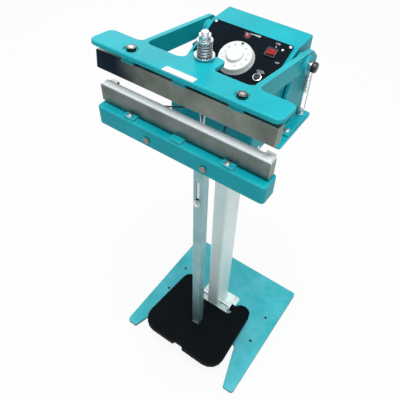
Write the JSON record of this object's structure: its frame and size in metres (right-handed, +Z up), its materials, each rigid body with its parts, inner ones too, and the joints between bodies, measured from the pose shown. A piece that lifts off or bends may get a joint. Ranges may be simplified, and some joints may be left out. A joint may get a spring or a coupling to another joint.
{
  "type": "foot pedal sealer",
  "caption": "Floor-standing bar sealer: a pedal and pull rod press a hinged upper jaw onto a heated lower jaw in front of a timer box.",
  "frame": {"origin": "middle of the base on the floor, under the rubber feet", "axes": "+Z up, -Y towards the person who works the pedal, +X to that person's right"},
  "size_m": [0.404, 0.405, 1.041],
  "materials": {
    "teal_paint": "glossy hammered paint on castings and sheet",
    "column_steel": "pale silver paint",
    "bright_steel": "plated fasteners and springs",
    "rod_steel": "drawn tube, dull",
    "bar_metal": "milled and polished bars",
    "black_paint": "satin black on the cast pedal",
    "black_plastic": "moulded",
    "white_plastic": "moulded dial",
    "rubber": "matt feet",
    "strip_rubber": "silicone pressing strip",
    "red_plastic": "rocker and plunger",
    "lamp_lens": "pink lens",
    "nichrome": "resistance ribbon",
    "coated_cloth": "coated glass cloth over the ribbon",
    "laminations": "stacked core sheets",
    "copper_coil": "varnished winding",
    "circuit_board": "green board with its potentiometer",
    "brass": "ribbon clamps"
  },
  "bodies": {
    "root": {"base_plate": "teal_paint", "foot_front_left": "rubber", "foot_front_right": "rubber", "foot_rear_left": "rubber", "foot_rear_right": "rubber", "column": "column_steel", "flange_bolt_1": "bright_steel", "flange_bolt_2": "bright_steel", "flange_bolt_3": "bright_steel", "flange_bolt_4": "bright_steel", "pedal_shaft": "bright_steel", "chassis": "teal_paint", "lower_beam": "teal_paint", "beam_bolt_left": "rod_steel", "beam_bolt_right": "rod_steel", "lower_jaw_bar": "bar_metal", "heating_ribbon": "nichrome", "ptfe_cover": "coated_cloth", "element_clamp_left": "brass", "element_clamp_right": "brass", "element_lead_left": "black_plastic", "element_lead_right": "black_plastic", "pivot_bracket_left": "teal_paint", "pivot_bracket_right": "teal_paint", "bracket_bolt_left": "bright_steel", "bracket_bolt_right": "bright_steel", "spring_anchor_left": "bright_steel", "spring_anchor_right": "bright_steel", "return_spring_left": "bright_steel", "return_spring_right": "bright_steel", "pivot_bolt_left": "bright_steel", "pivot_bolt_right": "bright_steel", "box_cover": "teal_paint", "control_panel": "black_plastic", "pilot_lamp": "lamp_lens", "fuse_holder": "black_plastic", "rocker_bezel": "black_plastic", "timer_board": "circuit_board", "transformer_core": "laminations", "transformer_coil": "copper_coil", "cord_gland": "black_plastic", "microswitch": "black_plastic"},
    "pressing_frame": {"upper_frame": "teal_paint", "upper_jaw_bar": "bar_metal", "silicone_strip": "strip_rubber", "frame_bolt_left": "bright_steel", "frame_bolt_right": "bright_steel"},
    "pedal": {"pedal_plate": "black_paint", "clevis_pin": "bright_steel"},
    "pull_rod": {"pull_tube": "rod_steel", "pull_stud": "bright_steel", "adjuster_bolt": "bright_steel", "lower_washer": "bright_steel", "pressure_spring": "bright_steel", "upper_washer": "bright_steel", "pressure_nut": "bright_steel"},
    "dial": {"dial_knob": "white_plastic"},
    "rocker": {"rocker": "red_plastic"},
    "plunger": {"switch_plunger": "red_plastic"}
  },
  "joints": [
    {"name": "arm_hinge", "type": "hinge", "parent": "root", "child": "pressing_frame", "pos_m": [0, 0.067, 0.943], "axis": [1, 0, 0], "range_deg": [0, 7.5], "stiffness_Nm_per_rad": 60, "springref_deg": -20.05, "deforming": ["return_spring_left", "return_spring_right"]},
    {"name": "pedal_hinge", "type": "hinge", "parent": "root", "child": "pedal", "pos_m": [0, 0.008, 0.062], "axis": [1, 0, 0], "range_deg": [0, 12]},
    {"name": "rod_hinge", "type": "hinge", "parent": "pedal", "child": "pull_rod", "pos_m": [0, -0.094, 0.066], "axis": [1, 0, 0], "range_deg": [-11.56, 0]},
    {"name": "dial_turn", "type": "hinge", "parent": "root", "child": "dial", "pos_m": [0.002, 0.006, 0.94115], "axis": [0, -0.4029, 0.9153], "range_deg": [-140, 140]},
    {"name": "rocker_tilt", "type": "hinge", "parent": "root", "child": "rocker", "pos_m": [0.053, 0.03903, 0.95831], "axis": [1, 0, 0], "range_deg": [0, 20]},
    {"name": "plunger_slide", "type": "slide", "parent": "root", "child": "plunger", "axis": [0, 0, -1], "range_m": [0, 0.0034], "stiffness_N_per_m": 150, "springref_m": -0.002}
  ],
  "couplings": [
    {"joint": "pedal_hinge", "follows": "arm_hinge", "ratio": 1.6},
    {"joint": "rod_hinge", "follows": "arm_hinge", "ratio": -1.54},
    {"joint": "plunger_slide", "follows": "arm_hinge", "m_per_rad": 0.0256}
  ]
}
